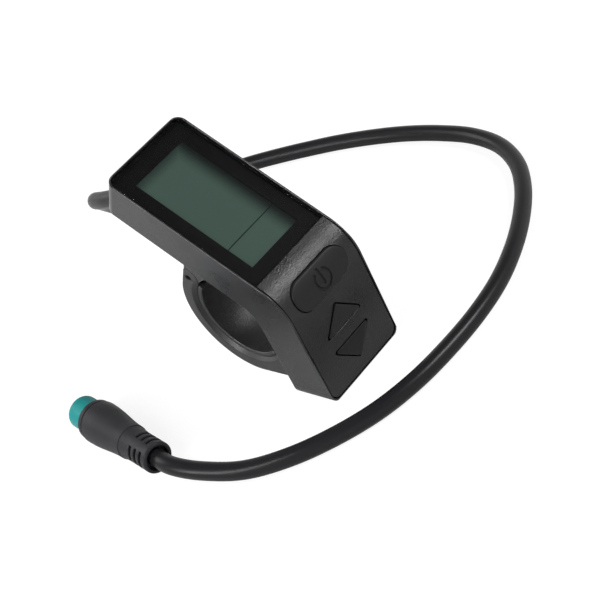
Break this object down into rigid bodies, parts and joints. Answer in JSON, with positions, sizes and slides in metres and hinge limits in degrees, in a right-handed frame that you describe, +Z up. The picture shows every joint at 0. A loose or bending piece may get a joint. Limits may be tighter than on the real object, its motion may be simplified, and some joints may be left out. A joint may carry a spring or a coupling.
{
  "type": "e-bike display",
  "caption": "Compact e-bike handlebar display with a tilted screen, a three key slope, a hinged bar clamp and a plug lead.",
  "frame": {"origin": "centre of the handlebar bore, midway across the clamp", "axes": "+X along the handlebar, +Y forward away from the rider, +Z up; the floor that it lies on is at z -16.3 mm"},
  "size_m": [0.1304, 0.131, 0.0599],
  "materials": {
    "case_abs": "fine satin moulded",
    "panel_abs": "fine grain moulded",
    "key_abs": "soft touch moulded",
    "lens_acrylic": "polished",
    "mask_ink": "printed",
    "film": "smooth",
    "cell_glass": "polished",
    "guide_acrylic": "polished",
    "frame_white": "moulded",
    "strip_rubber": "soft",
    "board_green": "coated",
    "chip_epoxy": "matte",
    "part_mix": "mixed",
    "flex_polyimide": "smooth",
    "stem_acetal": "moulded",
    "steel_dark": "black oxide",
    "steel_bright": "zinc plated",
    "brass": "machined",
    "pad_rubber": "matte",
    "seal_rubber": "matte",
    "cord_jacket": "satin",
    "wire_jacket": "smooth",
    "plug_black": "satin overmould",
    "plug_green": "satin moulded",
    "contact_gold": "plated"
  },
  "bodies": {
    "display_case": {"case_shell": "case_abs", "front_panel": "panel_abs", "panel_seal": "seal_rubber", "lens": "lens_acrylic", "lens_mask": "mask_ink", "front_polariser": "film", "lcd_cell": "cell_glass", "back_polariser": "film", "light_guide": "guide_acrylic", "lcd_frame": "frame_white", "contact_strip": "strip_rubber", "main_board": "board_green", "controller_chip": "chip_epoxy", "board_parts": "part_mix", "board_screws": "steel_bright", "board_jumper": "flex_polyimide", "key_flex": "flex_polyimide", "key_carrier": "case_abs", "key_switches": "chip_epoxy", "strain_relief": "cord_jacket", "core_wires": "wire_jacket", "cord": "cord_jacket", "plug_body": "plug_black", "plug_seal": "seal_rubber", "plug_nose": "plug_green", "plug_contacts": "contact_gold", "saddle_pad": "pad_rubber", "hinge_pin": "steel_bright", "clamp_insert": "brass"},
    "power_button": {"power_key": "key_abs", "power_stem": "stem_acetal"},
    "up_button": {"up_key": "key_abs", "up_stem": "stem_acetal"},
    "down_button": {"down_key": "key_abs", "down_stem": "stem_acetal"},
    "clamp_strap": {"strap": "case_abs", "strap_pad": "pad_rubber"},
    "strap_screw": {"clamp_screw": "steel_dark"}
  },
  "joints": [
    {"name": "power_key_press", "type": "slide", "parent": "display_case", "child": "power_button", "axis": [0, 0.9662, -0.2579], "range_m": [0, 0.0004], "stiffness_N_per_m": 4000, "springref_m": -0.0001},
    {"name": "up_key_press", "type": "slide", "parent": "display_case", "child": "up_button", "axis": [0, 1, 0], "range_m": [0, 0.0004], "stiffness_N_per_m": 4000, "springref_m": -0.0001},
    {"name": "down_key_press", "type": "slide", "parent": "display_case", "child": "down_button", "axis": [0, 1, 0], "range_m": [0, 0.0004], "stiffness_N_per_m": 4000, "springref_m": -0.0001},
    {"name": "strap_swing", "type": "hinge", "parent": "display_case", "child": "clamp_strap", "pos_m": [0, 0.00989, 0.01139], "axis": [1, 0, 0], "range_deg": [0, 80]},
    {"name": "clamp_screw_slide", "type": "slide", "parent": "clamp_strap", "child": "strap_screw", "axis": [0, 0.5878, -0.809], "range_m": [0, 0.005]}
  ]
}
